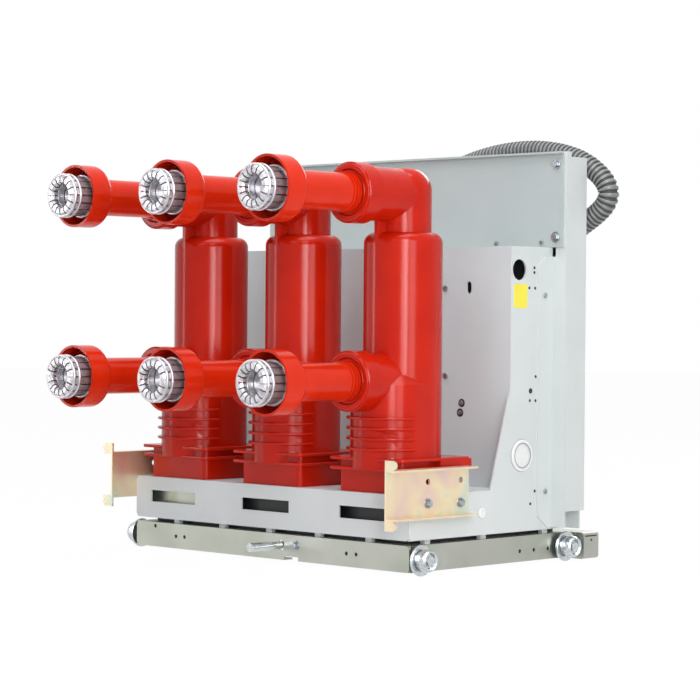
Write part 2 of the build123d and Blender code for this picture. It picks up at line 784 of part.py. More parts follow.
# Conduit of the control cable, its gland, its plug and the bracket that parks the plug
route_points = [Vector(x, along(distance), z) for x, distance, z in conduit_route]
bend_radii = []
for before, corner, after in zip(route_points, route_points[1:], route_points[2:]):
    turn = math.radians((corner - before).get_angle(after - corner))
    shorter = min((corner - before).length, (after - corner).length)
    bend_radii.append(0.45 * shorter / math.tan(turn / 2))
with BuildPart() as conduit:
    with BuildLine() as route:
        FilletPolyline(*route_points, radius=bend_radii)
    with BuildSketch(Plane(route_points[0], z_dir=route_points[1] - route_points[0])):
        Circle(conduit_radius)
    sweep()
route_length = sum(edge.length for edge in route.edges())
tube_volume = math.pi * conduit_radius**2 * route_length
print("conduit radii", [round(radius) for radius in bend_radii], "length", round(route_length))
print("conduit volume over section times length", round(conduit.part.volume / tube_volume, 3))

gland_plane = Plane(route_points[0], x_dir=(0, 1, 0), z_dir=route_points[0] - route_points[1])
plug_plane = Plane(route_points[-1], x_dir=(0, 1, 0), z_dir=route_points[-1] - route_points[-2])
gland_standoff = route_points[0].Y - along(panel_front)
plug_standoff = route_points[-1].Y - along(panel_front)
with BuildPart() as conduit_gland:
    with BuildSketch(gland_plane):
        Circle(gland_radius)
    extrude(amount=gland_length)
    with BuildSketch(gland_plane.offset(gland_length / 2)):
        with Locations((-gland_standoff, 0)):
            Rectangle(bracket_reach, bracket_height, align=(Align.MIN, Align.CENTER))
    extrude(amount=bracket_sheet)

with BuildPart() as conduit_plug:
    with BuildSketch(plug_plane):
        Circle(plug_radius)
    extrude(amount=plug_length)

with BuildPart() as plug_bracket:
    with BuildSketch(plug_plane.offset(plug_length / 2)):
        with Locations((-plug_standoff, 0)):
            Rectangle(bracket_reach, bracket_height, align=(Align.MIN, Align.CENTER))
        Circle(plug_radius + seat_gap, mode=Mode.SUBTRACT)
    extrude(amount=bracket_sheet)

# Pieces that stand on both sides, mirrored from the right to the left
mirrored = {
    "truck_side": truck_side.part,
    "side_plate": side_plate.part,
    "panel_angle": panel_angle.part,
    "side_cap": side_cap.part,
    "shutter_plate": shutter_plate.part,
    "wheel_rear": wheel.part.moved(Location((0, -rear_axle, 0))),
    "wheel_front": wheel.part.moved(Location((0, front_axle, 0))),
}
for name, piece in mirrored.items():
    write(piece, f"{name}_right")
    write(piece.mirror(Plane.YZ), f"{name}_left")

# Pieces that repeat for each phase and each row of contacts
for label, x in (("left", -phase_pitch), ("middle", 0.0), ("right", phase_pitch)):
    write(pole.part.moved(Location((x, 0, 0))), f"pole_{label}")
    for row, z in (("upper", upper_contact_z), ("lower", lower_contact_z)):
        write(sleeve.part.moved(Location((x, pole_y, z))), f"sleeve_{row}_{label}")
        write(tulip.part.moved(Location((x, pole_y, z))), f"tulip_{row}_{label}")

single = {
    "stub_axles": stub_axles,
    "truck_rear_plate": truck_rear_plate,
    "truck_deck": truck_deck,
    "screw_nut": screw_nut,
    "crossbeam": crossbeam,
    "lead_screw": lead_screw,
    "beam_handles": beam_handles,
    "base_tray": base_tray,
    "rear_wall": rear_wall,
    "housing_top": housing_top,
    "front_panel": front_panel,
    "upper_back_sheet": upper_back_sheet,
    "push_buttons": push_buttons,
    "indicator_windows": indicator_windows,
    "charging_socket": charging_socket,
    "conduit": conduit,
    "conduit_gland": conduit_gland,
    "conduit_plug": conduit_plug,
    "plug_bracket": plug_bracket,
}
for name, piece in single.items():
    write(piece.part, name)
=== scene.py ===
import json
import math

import bmesh
import bpy
from mathutils import Matrix, Vector


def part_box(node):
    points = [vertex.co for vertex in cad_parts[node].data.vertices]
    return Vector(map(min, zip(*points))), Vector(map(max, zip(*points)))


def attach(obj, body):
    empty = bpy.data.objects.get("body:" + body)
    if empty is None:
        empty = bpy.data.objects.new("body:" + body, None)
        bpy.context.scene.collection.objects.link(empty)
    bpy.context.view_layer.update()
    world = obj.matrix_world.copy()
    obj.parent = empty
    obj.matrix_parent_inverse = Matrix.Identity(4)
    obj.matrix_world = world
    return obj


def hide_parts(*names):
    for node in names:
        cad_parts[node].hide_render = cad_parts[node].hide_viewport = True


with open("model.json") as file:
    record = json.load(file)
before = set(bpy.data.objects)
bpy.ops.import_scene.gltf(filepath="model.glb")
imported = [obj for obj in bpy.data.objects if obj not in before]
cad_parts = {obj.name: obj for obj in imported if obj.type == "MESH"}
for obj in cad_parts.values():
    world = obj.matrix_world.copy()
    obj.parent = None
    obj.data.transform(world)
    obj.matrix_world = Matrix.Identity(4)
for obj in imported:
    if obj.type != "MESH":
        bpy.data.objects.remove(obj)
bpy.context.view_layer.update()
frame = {"nodes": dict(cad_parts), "record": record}

# withdrawable vacuum circuit breaker, in metres: contacts at -Y, operator's panel at +Y
mm = 0.001
poleY = -0.032           # the pole axes lie 32 mm from the middle, towards the contacts


def along(distance):     # Y of a point this many millimetres from the pole axes
    return poleY + distance * mm


def place(x, distance, z):
    return Vector((x * mm, along(distance), z * mm))


# camera: the photograph's place and lens
photoCamera = {
    "place": (2.642, -2.6758, 0.3723),
    "azimuth": 43.86,
    "pitch": 0.746,
    "roll": 0.45,
    "lens": 123.84,
    "sensor": 36,
    "nearClip": 0.1,
    "farClip": 50,
}


def addCamera():
    data = bpy.data.cameras.new("photoCamera")
    data.lens = photoCamera["lens"]
    data.sensor_width = photoCamera["sensor"]
    data.clip_start = photoCamera["nearClip"]
    data.clip_end = photoCamera["farClip"]
    camera = bpy.data.objects.new("photoCamera", data)
    bpy.context.scene.collection.objects.link(camera)
    turn = Matrix.Rotation(math.radians(photoCamera["azimuth"]), 4, "Z")
    tilt = Matrix.Rotation(math.radians(90 - photoCamera["pitch"]), 4, "X")
    roll = Matrix.Rotation(math.radians(photoCamera["roll"]), 4, "Z")
    camera.matrix_world = Matrix.Translation(photoCamera["place"]) @ turn @ tilt @ roll
    bpy.context.scene.camera = camera


addCamera()
print("camera placed")


# colours, nodes and finishes
def linearColor(hexColor):
    channels = [int(hexColor[i:i + 2], 16) / 255 for i in (1, 3, 5)]
    linear = [c / 12.92 if c <= 0.04045 else ((c + 0.055) / 1.055) ** 2.4 for c in channels]
    return (*linear, 1.0)


def perMetre(sizeMm):    # a texture scale whose features are this many millimetres apart
    return 1000 / sizeMm


def setStops(ramp, stops):
    while len(ramp.elements) < len(stops):
        ramp.elements.new(0.5)
    for element, (position, color) in zip(ramp.elements, stops):
        element.position = position
        element.color = linearColor(color)


def addNode(tree, kind, settings=None, links=None):
    node = tree.nodes.new(kind)
    for key, value in (settings or {}).items():
        if key == "stops":
            setStops(node.color_ramp, value)
        elif isinstance(key, int) or key in node.inputs:
            node.inputs[key].default_value = value
        else:
            setattr(node, key, value)
    for key, (source, output) in (links or {}).items():
        tree.links.new(source.outputs[output], node.inputs[key])
    return node


def makeFinish(name, look):
    material = bpy.data.materials.new(name)
    material.use_nodes = True
    tree = material.node_tree
    shader = tree.nodes["Principled BSDF"]
    for key, value in look["shader"].items():
        shader.inputs[key].default_value = value
    spot = addNode(tree, "ShaderNodeTexCoord")
    cloud = addNode(tree, "ShaderNodeTexNoise", look["cloud"], {"Vector": (spot, "Object")})
    tint = addNode(tree, "ShaderNodeValToRGB", {"stops": look["colors"]}, {"Fac": (cloud, "Fac")})
    tree.links.new(tint.outputs["Color"], shader.inputs["Base Color"])
    if "gloss" in look:      # roughness that drifts between two values
        smear = addNode(tree, "ShaderNodeTexNoise", look["smear"], {"Vector": (spot, "Object")})
        gloss = addNode(tree, "ShaderNodeMapRange", look["gloss"], {"Value": (smear, "Fac")})
        tree.links.new(gloss.outputs["Result"], shader.inputs["Roughness"])
    if "relief" in look:     # a fine surface relief, from its own grain or from the colour's clouds
        height = cloud
        if "grain" in look:
            height = addNode(tree, "ShaderNodeTexNoise", look["grain"], {"Vector": (spot, "Object")})
        bump = addNode(tree, "ShaderNodeBump", look["relief"], {"Height": (height, "Fac")})
        tree.links.new(bump.outputs["Normal"], shader.inputs["Normal"])
    return material


# cast epoxy resin from a polished steel mould: glossy, with a faint orange peel and cloudy pigment
def castEpoxy(name, dark, light):
    return makeFinish(name, {
        "shader": {"IOR": 1.5, "Roughness": 0.2, "Specular IOR Level": 0.2},
        "cloud": {"Scale": perMetre(55), "Detail": 2.0},
        "colors": ((0.3, dark), (0.7, light)),
        "smear": {"Scale": perMetre(18), "Detail": 3.0},
        "gloss": {"To Min": 0.14, "To Max": 0.22},
        "grain": {"Scale": perMetre(6), "Detail": 1.0},
        "relief": {"Strength": 0.06, "Distance": 0.0003},
    })


# steel sheet with light grey polyester powder coat: satin, with a fine orange peel
def powderCoat(name, dark, light):
    return makeFinish(name, {
        "shader": {"IOR": 1.5, "Roughness": 0.42},
        "cloud": {"Scale": perMetre(120), "Detail": 2.0},
        "colors": ((0.3, dark), (0.7, light)),
        "grain": {"Scale": perMetre(1.6), "Detail": 2.0},
        "relief": {"Strength": 0.15, "Distance": 0.0002},
    })


# zinc-plated sheet steel, bright passivated: soft grey metal with a faint green-yellow bloom
def zincPlate():
    return makeFinish("zincPlatedSteel", {
        "shader": {"Metallic": 1.0, "Roughness": 0.4},
        "cloud": {"Scale": perMetre(90), "Detail": 3.0},
        "colors": ((0.25, "#9EA296"), (0.5, "#AAADA3"), (0.75, "#B3B4AE")),
        "smear": {"Scale": perMetre(25), "Detail": 4.0},
        "gloss": {"To Min": 0.32, "To Max": 0.48},
    })


# zinc-plated sheet steel, yellow chromated: gold with pink and green clouds, as on a soap bubble
def yellowZinc():
    return makeFinish("yellowChromatedSteel", {
        "shader": {"Metallic": 0.7, "Roughness": 0.34},
        "cloud": {"Scale": perMetre(60), "Detail": 1.0, "Distortion": 0.8},
        "colors": ((0.3, "#DFC5BC"), (0.42, "#E5CFB3"), (0.55, "#E8D8B6"), (0.66, "#D2D7BF"),
                   (0.78, "#CCD3CD")),
    })


# zinc-plated screws and bolts, blue passivated: darker than the sheets that they hold
def fastenerZinc():
    return makeFinish("fastenerZinc", {
        "shader": {"Metallic": 1.0, "Roughness": 0.3},
        "cloud": {"Scale": perMetre(5), "Detail": 2.0},
        "colors": ((0.3, "#8B9398"), (0.7, "#B4BBBF")),
    })


# turned and zinc-plated steel: bright, with fine tool marks
def turnedSteel():
    return makeFinish("turnedSteel", {
        "shader": {"Metallic": 1.0, "Roughness": 0.26},
        "cloud": {"Scale": perMetre(4), "Detail": 4.0},
        "colors": ((0.3, "#B4B9BC"), (0.7, "#D3D8DA")),
    })


# silver-plated copper: pale, a little warm and tarnished in small clouds
def silverPlate():
    return makeFinish("silverPlatedCopper", {
        "shader": {"Metallic": 0.72, "Roughness": 0.3},
        "cloud": {"Scale": perMetre(9), "Detail": 3.0},
        "colors": ((0.3, "#A39C9E"), (0.5, "#C4C2C6"), (0.75, "#CFCDD8")),
    })


# injection-moulded polyamide, glossy white
def whiteNylon():
    return makeFinish("whitePolyamide", {
        "shader": {"IOR": 1.5, "Roughness": 0.3},
        "cloud": {"Scale": perMetre(12), "Detail": 1.0},
        "colors": ((0.2, "#DDE0E1"), (0.8, "#E5E6E5")),
    })


# black moulded polyamide with a fine spark-eroded texture
def blackNylon():
    return makeFinish("blackPolyamide", {
        "shader": {"IOR": 1.5, "Roughness": 0.5},
        "cloud": {"Scale": perMetre(0.8), "Detail": 2.0},
        "colors": ((0.2, "#151617"), (0.8, "#212224")),
        "relief": {"Strength": 0.2, "Distance": 0.0002},
    })


# ribbed polyamide conduit, mid grey: semi-gloss on the ribs, with a dark, rougher copy in the grooves that is
# painted shade
def conduitNylon(name, dark, light, roughness):
    return makeFinish(name, {
        "shader": {"IOR": 1.5, "Roughness": roughness},
        "cloud": {"Scale": perMetre(15), "Detail": 3.0},
        "colors": ((0.3, dark), (0.7, light)),
    })


# yellow self-adhesive foil, satin
def yellowFoil():
    return makeFinish("yellowFoil", {
        "shader": {"IOR": 1.5, "Roughness": 0.4},
        "cloud": {"Scale": perMetre(20), "Detail": 1.0},
        "colors": ((0.2, "#E9DC3E"), (0.8, "#F0E34A")),
    })


finishes = {                 # by the CAD nodes' material slots
    "epoxy": castEpoxy("castEpoxyRed", "#B61A06", "#C02008"),
    "contact_silver": silverPlate(),
    "painted_sheet": powderCoat("powderCoatGrey", "#C8CECE", "#CFD4D4"),
    "truck_steel": zincPlate(),
    "shutter_steel": yellowZinc(),
    "wheel_steel": turnedSteel(),
    "screw_steel": turnedSteel(),
    "white_plastic": whiteNylon(),
    "black_plastic": blackNylon(),
    "conduit_plastic": conduitNylon("conduitRibs", "#727475", "#828485", 0.34),
}
paintedLightSheetFinishes = {             # the same powder coat in greys set to how each sheet is lit: painted shade on the upper back sheet, which faces away from the lamps, and a cooler grey on the rear wall and tray, painted against the red light that the poles cast on them
    "upper_back_sheet": powderCoat("powderCoatBackSheetPaintedShade", "#ACB8B9", "#B3BEBF"),
    "rear_wall": powderCoat("powderCoatRearWallPaintedLight", "#C3D1D5", "#CAD7DA"),
    "base_tray": powderCoat("powderCoatTrayPaintedLight", "#C8D1D4", "#CFD7D9"),
}
# the sleeves take a lighter, more orange copy of the same cast epoxy: painted light, where they stand forward
# in the light and the poles do not shade them
sleeveLitEpoxy = castEpoxy("epoxyRedSleevesPaintedLight", "#C62409", "#D02B0C")
# dark grey for the conduit's grooves: painted shade
conduitGroovePaintedShade = conduitNylon("conduitGroovePaintedShade", "#323334", "#3F4041", 0.6)
boltZinc = fastenerZinc()
# grey for the rings round the side caps: painted shade
paintedShadeGrey = powderCoat("paintedShadeGrey", "#8F9495", "#9A9F9F")


def setFinish(piece, material):
    piece.data.materials.clear()
    piece.data.materials.append(material)


for entry in frame["record"]["subparts"]:
    setFinish(frame["nodes"][entry["node"]], finishes[entry["material_slot"]])
for nodeName, node in frame["nodes"].items():
    if nodeName.startswith("sleeve_"):
        setFinish(node, sleeveLitEpoxy)
    if nodeName in paintedLightSheetFinishes:
        setFinish(node, paintedLightSheetFinishes[nodeName])
print("materials made")


# floor, backdrop and studio light
studio = {
    "floorRadius": 14,
    "floorSides": 96,
    "floorGrey": "#F4F4F4",
    "whiteShare": 0.98,      # share of plain white that the floor shows to the camera
    "worldLight": 0.2,
    "aim": (0, 0, 0.3),      # all softboxes face this place
    "softboxes": (           # name, width, height, watts, place, shows only in reflections
        ("keyStrip", 0.5, 2.4, 30, (2.3, -1.7, 1.3), False),
        ("lowRight", 0.8, 1.6, 20, (2.6, -0.9, 0.8), False),
        ("frontBox", 1.6, 1.2, 12, (0.3, -3.3, 2.2), False),
        ("topBox", 2.4, 2.0, 74, (0.2, -0.5, 3.0), False),
        ("backBox", 1.6, 1.2, 24, (-1.0, 3.2, 1.8), False),
        ("poleStrip", 0.9, 2.0, 54, (2.25, -1.95, 1.1), True),
        ("leftStrip", 0.3, 2.6, 18, (-2.6, -2.2, 1.3), True),
    ),
}
white = (1, 1, 1, 1)


def whiteRays(tree):         # 1 for rays that see plain white: direct, mirrored or through glass
    rays = addNode(tree, "ShaderNodeLightPath")
    seen = addNode(tree, "ShaderNodeMath", {"operation": "MAXIMUM"},
                   {0: (rays, "Is Camera Ray"), 1: (rays, "Is Glossy Ray")})
    return addNode(tree, "ShaderNodeMath", {"operation": "MAXIMUM"},
                   {0: (seen, "Value"), 1: (rays, "Is Transmission Ray")})


def addWorld():
    world = bpy.data.worlds.new("studioWorld")
    bpy.context.scene.world = world
    world.use_nodes = True
    tree = world.node_tree
    tree.nodes.clear()
    light = addNode(tree, "ShaderNodeBackground", {"Color": white, "Strength": studio["worldLight"]})
    plain = addNode(tree, "ShaderNodeBackground", {"Color": white, "Strength": 1.0})
    mix = addNode(tree, "ShaderNodeMixShader", None,
                  {0: (whiteRays(tree), "Value"), 1: (light, "Background"), 2: (plain, "Background")})
    addNode(tree, "ShaderNodeOutputWorld", None, {"Surface": (mix, "Shader")})


def addFloor():
    bpy.ops.mesh.primitive_circle_add(vertices=studio["floorSides"], radius=studio["floorRadius"],
                                      fill_type="NGON")
    floor = bpy.context.object
    floor.name = "studioFloor"
    material = bpy.data.materials.new("studioFloor")
    material.use_nodes = True
    tree = material.node_tree
    tree.nodes.clear()
    share = addNode(tree, "ShaderNodeMath", {"operation": "MULTIPLY", 1: studio["whiteShare"]},
                    {0: (whiteRays(tree), "Value")})
    matte = addNode(tree, "ShaderNodeBsdfDiffuse", {"Color": linearColor(studio["floorGrey"])})
    plain = addNode(tree, "ShaderNodeEmission", {"Color": white, "Strength": 1.0})
    mix = addNode(tree, "ShaderNodeMixShader", None,
                  {0: (share, "Value"), 1: (matte, "BSDF"), 2: (plain, "Emission")})
    addNode(tree, "ShaderNodeOutputMaterial", None, {"Surface": (mix, "Shader")})
    setFinish(floor, material)


def addSoftbox(name, width, height, watts, spot, reflectedOnly):
    data = bpy.data.lights.new(name, "AREA")
    data.shape = "RECTANGLE"
    data.size = width
    data.size_y = height
    data.energy = watts
    lamp = bpy.data.objects.new(name, data)
    lamp.visible_camera = False
    lamp.visible_diffuse = not reflectedOnly
    bpy.context.scene.collection.objects.link(lamp)
    aim = Vector(studio["aim"]) - Vector(spot)
    lamp.matrix_world = Matrix.Translation(spot) @ aim.to_track_quat("-Z", "Y").to_matrix().to_4x4()


addWorld()
addFloor()
for softbox in studio["softboxes"]:
    addSoftbox(*softbox)
bpy.context.scene.view_settings.view_transform = "Standard"
print("studio lit")


# ribbed conduit of the control cable
conduit = {
    "route": (               # x, distance from the pole axes, z
        (-24.0, 320.0, 594.0),
        (40.0, 319.0, 622.0),
        (130.0, 312.0, 639.0),
        (215.0, 309.5, 642.0),
        (293.0, 309.0, 627.0),
        (345.0, 309.0, 594.0),
        (358.0, 310.0, 564.0),
        (331.0, 313.5, 536.0),
        (272.0, 316.0, 507.0),
    ),
    "order": 3,
    "resolution": 24,        # points between two of the route's places
    "radius": 16.5,
    "groove": 2.8,
    "ribPitch": 7.6,
    "ribProfile": (0.0, 0.75, 1.0, 1.0, 0.75, 0.0),   # share of the rib's height, ring by ring
    "sides": 32,
}


def conduitLine():           # centreline points of the route's spline
    data = bpy.data.curves.new("conduitRoute", "CURVE")
    data.dimensions = "3D"
    data.resolution_u = conduit["resolution"]
    spline = data.splines.new("NURBS")
    spline.points.add(len(conduit["route"]) - 1)
    for point, spot in zip(spline.points, conduit["route"]):
        point.co = (*place(*spot), 1)
    spline.order_u = conduit["order"]
    spline.use_endpoint_u = True
    route = bpy.data.objects.new("conduitRoute", data)
    bpy.context.scene.collection.objects.link(route)
    bpy.context.view_layer.update()
    mesh = bpy.data.meshes.new_from_object(route.evaluated_get(bpy.context.evaluated_depsgraph_get()))
    line = [v.co.copy() for v in mesh.vertices]
    bpy.data.objects.remove(route)
    bpy.data.meshes.remove(mesh)
    return line


def evenSteps(line, step):   # points this far apart along a line, with the direction at each
    lengths = [0.0]
    for a, b in zip(line, line[1:]):
        lengths.append(lengths[-1] + (b - a).length)
    count = round(lengths[-1] / step)
    found, leg = [], 0
    for index in range(count + 1):
        goal = lengths[-1] * index / count
        while leg < len(line) - 2 and lengths[leg + 1] < goal:
            leg += 1
        part = (goal - lengths[leg]) / (lengths[leg + 1] - lengths[leg])
        found.append((line[leg].lerp(line[leg + 1], part), (line[leg + 1] - line[leg]).normalized()))
    return found, lengths[-1]


def ribbedConduit():
    line = conduitLine()
    profile = conduit["ribProfile"]
    sides = conduit["sides"]
    rings, length = evenSteps(line, conduit["ribPitch"] * mm / len(profile))
    mesh = bpy.data.meshes.new("ribbedConduit")
    form = bmesh.new()
    side = Vector((0, 1, 0))
    loops = []
    for index, (spot, heading) in enumerate(rings):
        side = (side - heading * side.dot(heading)).normalized()
        up = heading.cross(side)
        radius = (conduit["radius"] - conduit["groove"] * (1 - profile[index % len(profile)])) * mm
        loops.append([
            form.verts.new(spot + radius * (side * math.cos(a) + up * math.sin(a)))
            for a in [2 * math.pi * k / sides for k in range(sides)]
        ])
    for near, far in zip(loops, loops[1:]):
        for k in range(sides):
            n = (k + 1) % sides
            form.faces.new((near[k], near[n], far[n], far[k]))
    form.faces.new(list(reversed(loops[0])))
    form.faces.new(loops[-1])
    bmesh.ops.recalc_face_normals(form, faces=form.faces)
    form.to_mesh(mesh)
    form.free()
    tube = bpy.data.objects.new("ribbedConduit", mesh)
    bpy.context.scene.collection.objects.link(tube)
    setFinish(tube, finishes["conduit_plastic"])
    mesh.materials.append(conduitGroovePaintedShade)
    for face in mesh.polygons:
        ring = face.index // sides
        lowest = min(profile[ring % len(profile)], profile[(ring + 1) % len(profile)])
        face.use_smooth = True
        face.material_index = int(lowest == 0)   # 1 in a groove, which takes the painted shade
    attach(tube, "breaker")
    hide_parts("conduit")


ribbedConduit()
print("conduit made")


# small parts that the solids leave out, in millimetres
facing = {                   # outward direction of the faces that carry them
    "rear": Vector((0, -1, 0)),
    "right": Vector((1, 0, 0)),
    "left": Vector((-1, 0, 0)),
}
signs = {"right": 1, "left": -1}
sidePlane = 298.0            # outer face of the side plates, from the middle
anglePlane = 301.0           # outer face of the angles and the shutter plates, from the middle
smoothAngle = math.radians(40)


def finishPiece(piece, name, material, body="breaker"):
    piece.name = name
    piece.data.name = name
    setFinish(piece, material)
    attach(piece, body)


def turnTo(direction):       # rotation that brings a primitive's own Z to this direction
    return direction.to_track_quat("Z", "Y").to_euler()


def rearSpots(spots, plane):
    return [place(x, plane, z) for x, z in spots]


def sideSpots(spots, x):
    return [place(x, distance, z) for distance, z in spots]


def applyModifier(piece, kind, settings):
    bpy.ops.object.modifier_add(type=kind)
    modifier = piece.modifiers[-1]
    for setting, value in settings.items():
        setattr(modifier, setting, value)
    bpy.ops.object.modifier_apply(modifier=modifier.name)


def joinPieces(pieces):
    bpy.ops.object.select_all(action="DESELECT")
    for piece in pieces:
        piece.select_set(True)
    bpy.context.view_layer.objects.active = pieces[0]
    bpy.ops.object.join()
    return bpy.context.object


def addDisc(spot, direction, radius, depth, bevel, sides=24):    # round plate that stands on a face
    middle = spot + direction * depth * mm / 2
    bpy.ops.mesh.primitive_cylinder_add(vertices=sides, radius=radius * mm, depth=depth * mm,
                                        location=middle, rotation=turnTo(direction))
    disc = bpy.context.object
    applyModifier(disc, "BEVEL", {"width": bevel * mm, "segments": 2})
    bpy.ops.object.transform_apply(location=True, rotation=True, scale=True)
    return disc


def addBar(low, high, bevel):    # bar between two corners, with its edges rounded
    bpy.ops.mesh.primitive_cube_add(size=1, location=(low + high) / 2, scale=high - low)
    bar = bpy.context.object
    bpy.ops.object.transform_apply(location=True, rotation=True, scale=True)
    applyModifier(bar, "BEVEL", {"width": bevel * mm, "segments": 2})
    return bar


# bolts with a flange, dome-headed screws, and holes as thin black discs, whose black is painted shade for
# each hole's hollow
bolt = {
    "flangeDepth": 1.4,
    "flangeBevel": 0.4,
    "flangeSides": 32,
    "headShare": 0.75,       # the head's depth, as a share of its radius
    "headBevel": 0.5,
    "headSides": 6,
}
screw = {"depthShare": 0.55, "bevelShare": 0.28}
darkHole = {"depth": 0.25, "bevel": 0.1}


def addBolts(name, side, spots, head, flange):
    out = facing[side]
    made = []
    for spot in spots:
        made.append(addDisc(spot, out, flange, bolt["flangeDepth"], bolt["flangeBevel"], bolt["flangeSides"]))
        made.append(addDisc(spot + out * bolt["flangeDepth"] * mm, out, head, bolt["headShare"] * head,
                            bolt["headBevel"], bolt["headSides"]))
    finishPiece(joinPieces(made), name, boltZinc)


def addScrews(name, side, spots, head, slot="wheel_steel"):
    made = []
    for spot in spots:
        made.append(addDisc(spot, facing[side], head, screw["depthShare"] * head, screw["bevelShare"] * head))
    finishPiece(joinPieces(made), name, boltZinc if slot == "wheel_steel" else finishes[slot])


def addDarkHoles(name, side, spots, radius, depth=darkHole["depth"], bevel=darkHole["bevel"]):
    made = []
    for spot in spots:
        made.append(addDisc(spot, facing[side], radius, depth, bevel))
    finishPiece(joinPieces(made), name, finishes["black_plastic"])


wallStuds = ((201.0, 244.0), (198.0, 229.0))
rearHardware = {             # make, plane from the pole axes, spots as x and z, radii
    "backSheetBolts": (addBolts, 241.0, ((306.0, 612.0), (306.0, 500.0)), (5.5, 8.5)),
    "backSheetScrews": (addScrews, 241.0, ((187.5, 492.0), (278.0, 492.0)), (4.2,)),
    "rearWallScrews": (addScrews, 145.0, ((167.0, 420.5), (168.0, 285.0)), (5.0,)),
    "rearWallGrommets": (addDarkHoles, 145.0, wallStuds, (6.5,)),
    "rearWallStuds": (addScrews, 145.0, wallStuds, (4.0,)),
}
sideHardware = {             # make, plane from the middle, spots as distance and z, radii and slot
    # holes in the side plates, as black discs: painted shade
    "sidePlateHoles": (addDarkHoles, sidePlane, (
        (200.0, 452.0), (200.0, 444.8), (188.3, 421.2), (202.0, 421.0), (205.0, 286.0),
        (191.6, 249.6), (205.0, 249.3), (194.8, 92.0), (205.0, 111.0)), (2.4,)),
    "sidePlateLargeHole": (addDarkHoles, sidePlane, ((193.3, 264.3),), (4.2,)),
    "angleScrews": (addScrews, anglePlane, ((226.0, 110.0), (222.0, 410.0)), (4.2,)),
    "shutterBolts": (addBolts, anglePlane, ((-41.6, 104.6), (30.0, 102.5)), (5.5, 7.5)),
    "sidePlug": (addScrews, sidePlane, ((80.0, 84.0),), (8.0, "white_plastic")),
}
truckBolt = {"plane": -78.0, "spot": (65.0, 28.8), "head": 5.5, "flange": 7.5}

for partName, (make, plane, spots, sizes) in rearHardware.items():
    make(partName, "rear", rearSpots(spots, plane), *sizes)
for side, sign in signs.items():
    for partName, (make, plane, spots, sizes) in sideHardware.items():
        make(f"{partName}_{side}", side, sideSpots(spots, sign * plane), *sizes)
addBolts("truckRearBolt", "rear", rearSpots([truckBolt["spot"]], truckBolt["plane"]), truckBolt["head"],
         truckBolt["flange"])
print("bolts, screws and small holes made")


# tubes on the six contact axes: a support inside each finger cage, which closes the slots between the fingers
# from within, a seal in each pole collar, round the sleeve, and a band round the collar
contactAxes = [(x, z) for x in (-210.0, 0.0, 210.0) for z in (281.0, 556.0)]
tubeSides = 64
fingerSupport = {"start": -302.0, "length": 40.0, "radius": 20.2, "wall": 1.6, "bevel": 0.3}
collarSeal = {"start": -119.6, "length": 7.4, "radius": 33.4, "wall": 5.0, "bevel": 1.2}
collarBand = {"start": -119.0, "length": 29.0, "radius": 45.0, "wall": 2.4, "bevel": 1.6}


def addTubes(name, tube, slot):
    made = []
    for x, z in contactAxes:
        middle = place(x, tube["start"] + tube["length"] / 2, z)
        bpy.ops.mesh.primitive_cylinder_add(vertices=tubeSides, radius=tube["radius"] * mm,
                                            depth=tube["length"] * mm, end_fill_type="NOTHING",
                                            location=middle, rotation=turnTo(facing["rear"]))
        ring = bpy.context.object
        applyModifier(ring, "SOLIDIFY", {"thickness": tube["wall"] * mm})
        applyModifier(ring, "BEVEL", {"width": tube["bevel"] * mm})
        bpy.ops.object.transform_apply(location=True, rotation=True, scale=True)
        bpy.ops.object.shade_smooth_by_angle(angle=smoothAngle)
        made.append(ring)
    finishPiece(joinPieces(made), name, finishes[slot])


addTubes("fingerSupports", fingerSupport, "contact_silver")
addTubes("collarSeals", collarSeal, "epoxy")
addTubes("collarBands", collarBand, "epoxy")
print("contact and collar tubes made")


# black discs behind the truck's small holes, painted shade for the dark inside them, and the slot and hole in
# the crossbeam's ends, drawn black on its faces as painted shade
truckHoles = {
    "rear": ((-253.0, 38.0), (-204.0, 24.5), (-184.0, 24.5), (172.0, 24.5), (192.0, 24.5)),
    "side": ((171.0, 21.0), (204.5, 21.0), (238.0, 21.0)),
    "rearInside": -74.0,
    "sideInside": 294.0,
    "plug": (4.4, 1.2, 0.2),     # radius, depth and bevel
}
beamEnd = {
    "slotDistance": (303.0, 331.0),
    "slotHeight": (36.4, 38.6),
    "hole": (318.0, 31.0),
    "holeRadius": 1.9,
    "proud": 0.3,
    "bevel": 0.1,
}


# a black bar and disc, proud of each end face: painted shade for the slot and the hole
def addBeamEnd(side, sign):      # both ride with the crossbeam
    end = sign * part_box("crossbeam")[1][0] / mm
    left, right = sorted((end, end + sign * beamEnd["proud"]))
    near, far = beamEnd["slotDistance"]
    low, high = beamEnd["slotHeight"]
    slotBar = addBar(place(left, near, low), place(right, far, high), beamEnd["bevel"])
    hole = addDisc(place(end, *beamEnd["hole"]), facing[side], beamEnd["holeRadius"], beamEnd["proud"],
                   beamEnd["bevel"])
    finishPiece(joinPieces([slotBar, hole]), "beamEndHoles_" + side,
                finishes["black_plastic"], "crossbeam")


addDarkHoles("truckRearHoleShades", "rear", rearSpots(truckHoles["rear"], truckHoles["rearInside"]),
             *truckHoles["plug"])
for side, sign in signs.items():
    holeShadeSpots = sideSpots(truckHoles["side"], sign * truckHoles["sideInside"])
    addDarkHoles("truckSideHoleShades_" + side, side, holeShadeSpots, *truckHoles["plug"])
    addBeamEnd(side, sign)
print("truck holes and crossbeam ends made")


# black strips in the gap between truck and tray, behind the tray's feet: painted shade, standing in for the
# shadow in the gap
gapShade = {
    "low": 44.2,
    "high": 51.6,
    "side": 274.0,
    "rear": -55.0,
    "front": 280.0,
    "width": 4.0,
    "bevel": 0.8,
    "cornerGap": 0.5,
}


